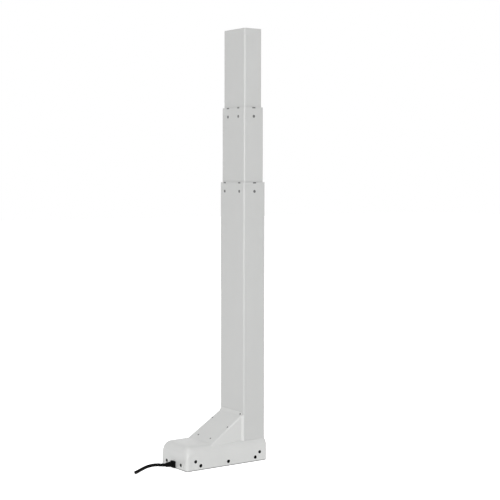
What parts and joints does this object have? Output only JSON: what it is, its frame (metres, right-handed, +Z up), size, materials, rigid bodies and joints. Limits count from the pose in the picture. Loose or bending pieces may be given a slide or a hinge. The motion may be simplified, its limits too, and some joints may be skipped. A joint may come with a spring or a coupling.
{
  "type": "electric lifting column",
  "caption": "Rectangular telescopic electric lifting column with an L-shaped motor foot, slanted gusset, guide pads and a short motor cord.",
  "frame": {"origin": "on the column axis, at the underside of the base plate", "axes": "+Z up along the column; X along the foot with the motor box towards -X; Y across the foot"},
  "size_m": [0.2707, 0.0914, 0.83],
  "materials": {
    "housing_paint": "satin powder coat over a die casting",
    "tube_paint": "satin powder coat, light grey",
    "plate_steel": "dark satin coat",
    "pad_plastic": "matt, slightly waxy",
    "black_screw": "black oxide",
    "grey_screw": "dark zinc",
    "zinc_screw": "zinc plated",
    "gear_casting": "as cast",
    "bearing_steel": "ground",
    "bronze": "sintered",
    "can_steel": "zinc plated, drawn",
    "ferrite": "matt",
    "black_plastic": "moulded",
    "black_rubber": "matt",
    "board_green": "solder mask",
    "lead_insulation": "soft, smooth",
    "ground_steel": "ground",
    "worm_steel": "rolled, oiled",
    "core_steel": "laminated",
    "copper": "turned",
    "spindle_steel": "rolled thread, greased",
    "nut_plastic": "moulded acetal",
    "carrier_plastic": "glass filled",
    "top_steel": "satin powder coat"
  },
  "bodies": {
    "base": {"motor_housing": "housing_paint", "base_plate": "plate_steel", "outer_tube": "tube_paint", "outer_guide_pads": "pad_plastic", "side_screws": "black_screw", "end_screws": "black_screw", "gusset_screws": "grey_screw", "tube_lip_screw": "grey_screw", "gear_housing": "gear_casting", "gear_cover": "gear_casting", "gear_cover_screws": "zinc_screw", "gear_screws": "zinc_screw", "lower_bearing_outer_race": "bearing_steel", "lower_bearing_balls": "bearing_steel", "spindle_bush": "bronze", "worm_front_bush": "bronze", "worm_end_bush": "bronze", "motor_can": "can_steel", "motor_magnets": "ferrite", "motor_end_cap": "black_plastic", "motor_gasket": "black_rubber", "motor_screws": "zinc_screw", "sensor_board": "board_green", "motor_leads": "lead_insulation", "cord_gland": "black_rubber", "motor_cord": "black_rubber"},
    "motor_rotor": {"motor_shaft": "ground_steel", "worm": "worm_steel", "armature": "core_steel", "commutator": "copper", "sensor_magnet": "ferrite"},
    "solid_screw": {"drive_spindle": "spindle_steel", "worm_wheel": "nut_plastic", "spindle_driver": "nut_plastic", "lower_bearing_inner_race": "bearing_steel"},
    "middle_stage": {"middle_tube": "tube_paint", "middle_guide_pads": "pad_plastic", "middle_foot_pads": "pad_plastic", "middle_carrier": "carrier_plastic", "lower_nut": "nut_plastic", "lower_nut_screws": "zinc_screw", "carrier_bearing_outer_race": "bearing_steel", "carrier_bearing_balls": "bearing_steel", "bearing_retainer": "spindle_steel"},
    "hollow_screw": {"hollow_spindle": "spindle_steel", "carrier_bearing_inner_race": "bearing_steel", "hollow_spindle_ring": "nut_plastic"},
    "inner_stage": {"inner_tube": "tube_paint", "inner_foot_pads": "pad_plastic", "inner_carrier": "carrier_plastic", "upper_nut": "nut_plastic", "upper_nut_screws": "zinc_screw", "top_plate": "top_steel"}
  },
  "joints": [
    {"name": "middle_slide", "type": "slide", "parent": "base", "child": "middle_stage", "axis": [0, 0, 1], "range_m": [-0.135, 0.19]},
    {"name": "inner_slide", "type": "slide", "parent": "middle_stage", "child": "inner_stage", "axis": [0, 0, 1], "range_m": [-0.135, 0.19]},
    {"name": "solid_screw_turn", "type": "hinge", "parent": "base", "child": "solid_screw", "pos_m": [0, 0, 0.024], "axis": [0, 0, 1], "range_deg": [-11410, 8110]},
    {"name": "hollow_screw_turn", "type": "hinge", "parent": "middle_stage", "child": "hollow_screw", "pos_m": [0, 0, 0.22], "axis": [0, 0, 1], "range_deg": [-11410, 8110]},
    {"name": "motor_turn", "type": "hinge", "parent": "base", "child": "motor_rotor", "pos_m": [0, 0.0175, 0.024], "axis": [1, 0, 0], "range_deg": [-148300, 105401]}
  ],
  "couplings": [
    {"joint": "inner_slide", "follows": "middle_slide", "ratio": 1},
    {"joint": "solid_screw_turn", "follows": "middle_slide", "rad_per_m": -1047.2},
    {"joint": "hollow_screw_turn", "follows": "middle_slide", "rad_per_m": -1047.2},
    {"joint": "motor_turn", "follows": "middle_slide", "rad_per_m": -13614}
  ]
}
